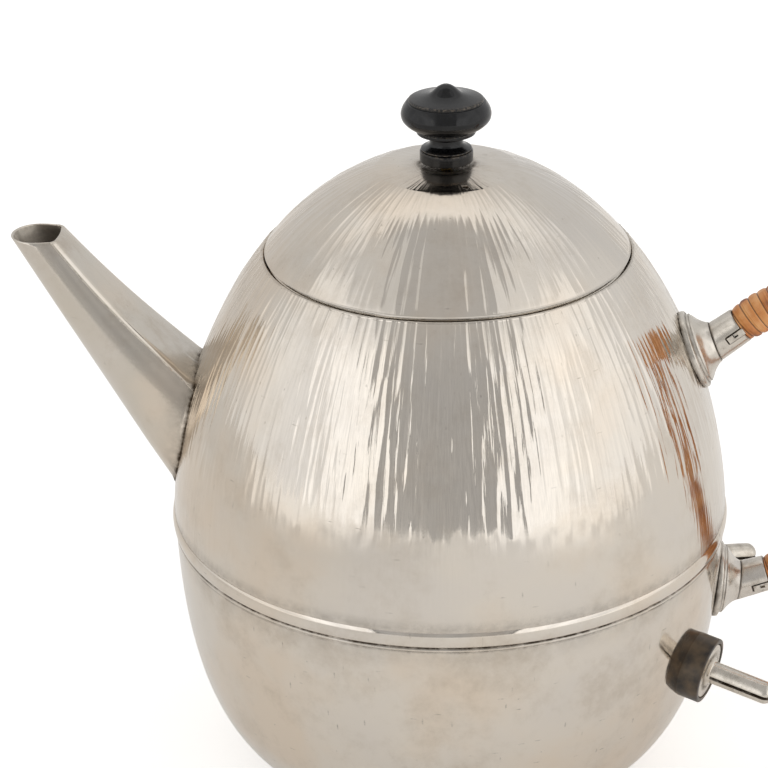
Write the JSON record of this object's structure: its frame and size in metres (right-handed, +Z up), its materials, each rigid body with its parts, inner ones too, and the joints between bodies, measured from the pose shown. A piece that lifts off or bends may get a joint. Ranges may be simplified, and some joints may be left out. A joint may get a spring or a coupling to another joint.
{
  "type": "electric tea kettle",
  "caption": "Egg-shaped nickel-plated electric kettle with a hammered vessel, smooth casing, straight tapered spout, lift-off lid with turned knob and cane-bound side handle.",
  "frame": {"origin": "centre of the flat underside that the kettle stands on, on the axis of its round body", "axes": "+Z up along the body's axis, +X towards the handle, -X towards the spout, +Y to the side"},
  "size_m": [0.2598, 0.16, 0.2045],
  "materials": {
    "nickel_plate": "polished nickel plate on hammered and spun brass, warm grey, lightly tarnished and scratched",
    "tinned_copper": "dull hot-tinned lining",
    "brass": "turned brass fastener",
    "ash_rod": "bent rod under the binding, unfinished",
    "rattan_cane": "split rattan cane wound tightly, honey brown, varnished",
    "vulcanised_fibre": "dark brown insulating fibre, turned, satin",
    "braided_sleeve": "woven insulating sleeve over a flexible lead",
    "steel": "plain mild steel",
    "mica": "mica insulating sheet",
    "ebonised_wood": "turned hardwood dyed black and polished"
  },
  "bodies": {
    "kettle": {"upper_body": "nickel_plate", "band_moulding": "nickel_plate", "lower_casing": "nickel_plate", "mouth_ring": "nickel_plate", "vessel_pan": "tinned_copper", "pan_floor": "tinned_copper", "spout": "nickel_plate", "upper_socket": "nickel_plate", "upper_socket_stud": "brass", "upper_socket_washer": "brass", "upper_socket_nut": "brass", "upper_ferrule": "nickel_plate", "upper_ferrule_key": "nickel_plate", "lower_socket": "nickel_plate", "lower_socket_stud": "brass", "lower_socket_washer": "brass", "lower_socket_nut": "brass", "lower_ferrule": "nickel_plate", "lower_ferrule_key": "nickel_plate", "handle_rod": "ash_rod", "cane_binding": "rattan_cane", "contact_pin_1": "nickel_plate", "pin_bush_1": "vulcanised_fibre", "pin_washer_1": "vulcanised_fibre", "pin_nut_1": "brass", "heater_lead_1": "braided_sleeve", "contact_pin_2": "nickel_plate", "pin_bush_2": "vulcanised_fibre", "pin_washer_2": "vulcanised_fibre", "pin_nut_2": "brass", "heater_lead_2": "braided_sleeve", "clamp_stud": "steel", "upper_mica": "mica", "heating_element": "steel", "lower_mica": "mica", "clamp_plate": "steel", "clamp_nut": "steel", "cover_ring": "brass", "base_cover": "nickel_plate", "cover_screw_1": "nickel_plate", "cover_screw_2": "nickel_plate", "cover_screw_3": "nickel_plate"},
    "lid": {"lid_shell": "nickel_plate", "lid_bezel": "nickel_plate", "knob_base": "ebonised_wood", "knob_head": "ebonised_wood", "knob_stud": "brass", "knob_washer": "brass", "knob_nut": "brass"}
  },
  "joints": [
    {"name": "lid_lift", "type": "slide", "parent": "kettle", "child": "lid", "axis": [0, 0, 1], "range_m": [0, 0.06]}
  ]
}
